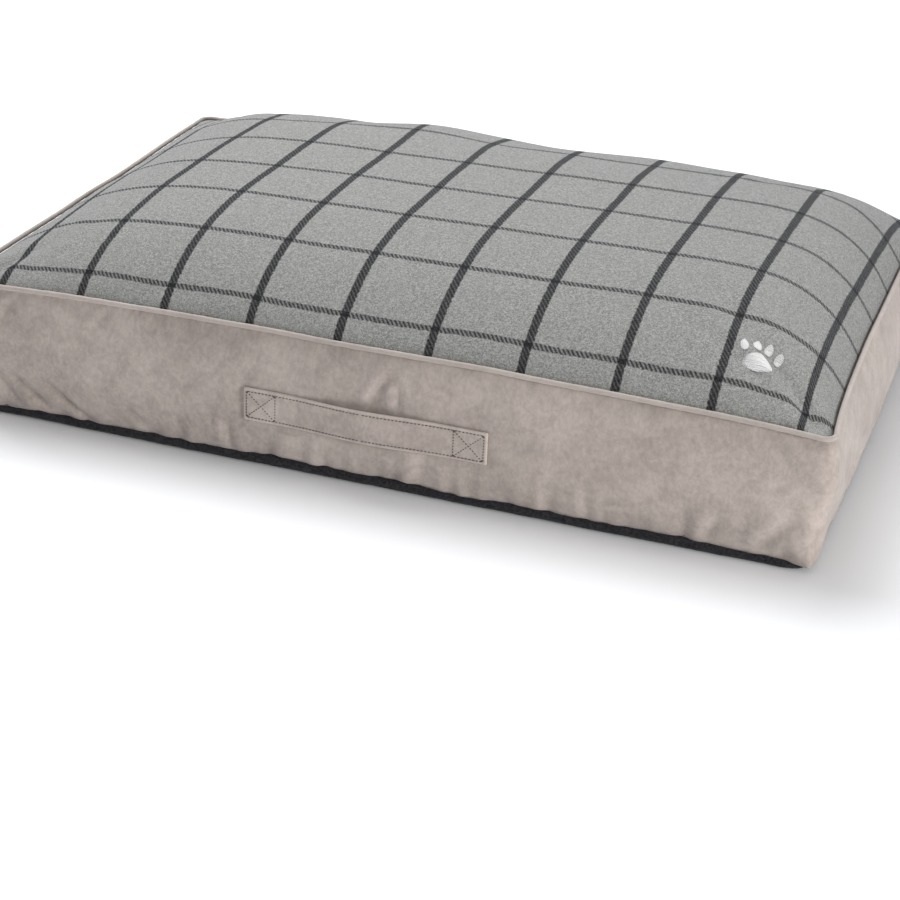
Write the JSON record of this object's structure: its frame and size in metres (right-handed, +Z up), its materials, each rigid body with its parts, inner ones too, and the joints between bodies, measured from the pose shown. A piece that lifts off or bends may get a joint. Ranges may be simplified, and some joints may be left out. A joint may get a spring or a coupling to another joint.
{
  "type": "pet cushion bed",
  "caption": "Boxed rectangular cushion bed for a pet, with a crowned checked top, faux suede sides, piping, a grab handle and a rear zip.",
  "frame": {"origin": "middle of the flat base, on the floor", "axes": "+Z up, X along the bed's long side, -Y towards the side with the grab handle, +Y towards the zip"},
  "size_m": [0.9186, 0.6287, 0.222],
  "materials": {
    "woven_top": "woven check",
    "suede": "brushed suede",
    "piping_suede": "brushed suede",
    "fleece": "short pile",
    "cotton_cord": "twisted cotton",
    "liner_cotton": "plain weave",
    "fibre": "loose fibre",
    "thread": "sewing thread",
    "motif_thread": "satin stitch",
    "zip_tape": "ribbed tape",
    "zip_coil": "nylon",
    "zip_metal": "satin nickel",
    "label": "satin ribbon"
  },
  "bodies": {
    "bed": {"top_panel": "woven_top", "embroidered_motif": "motif_thread", "piping_cover": "piping_suede", "piping_cord": "cotton_cord", "side_band": "suede", "rear_band_upper": "suede", "rear_band_lower": "suede", "base_panel": "fleece", "liner_top": "liner_cotton", "liner_bottom": "liner_cotton", "fibre_filling": "fibre", "handle_end_left": "suede", "handle_end_right": "suede", "handle_box_stitch_left": "thread", "handle_box_stitch_right": "thread", "zip_tape_upper": "zip_tape", "zip_tape_lower": "zip_tape", "zip_coil_upper": "zip_coil", "zip_coil_lower": "zip_coil", "zip_stop_left": "zip_metal", "zip_stop_right": "zip_metal", "zip_topstitch_upper": "thread", "zip_topstitch_lower": "thread", "care_label": "label"},
    "handle": {"handle_grip": "suede", "handle_edge_stitching": "thread"},
    "slider": {"zip_slider": "zip_metal"},
    "pull_tab": {"zip_pull_tab": "zip_metal"}
  },
  "joints": [
    {"name": "handle_pull", "type": "slide", "parent": "bed", "child": "handle", "axis": [0, -1, 0], "range_m": [0, 0.018]},
    {"name": "zip_slide", "type": "slide", "parent": "bed", "child": "slider", "axis": [-1, 0, 0], "range_m": [0, 0.793]},
    {"name": "pull_tab_swing", "type": "hinge", "parent": "slider", "child": "pull_tab", "pos_m": [0.3965, 0.3089, 0.062], "axis": [1, 0, 0], "range_deg": [0, 160]}
  ]
}
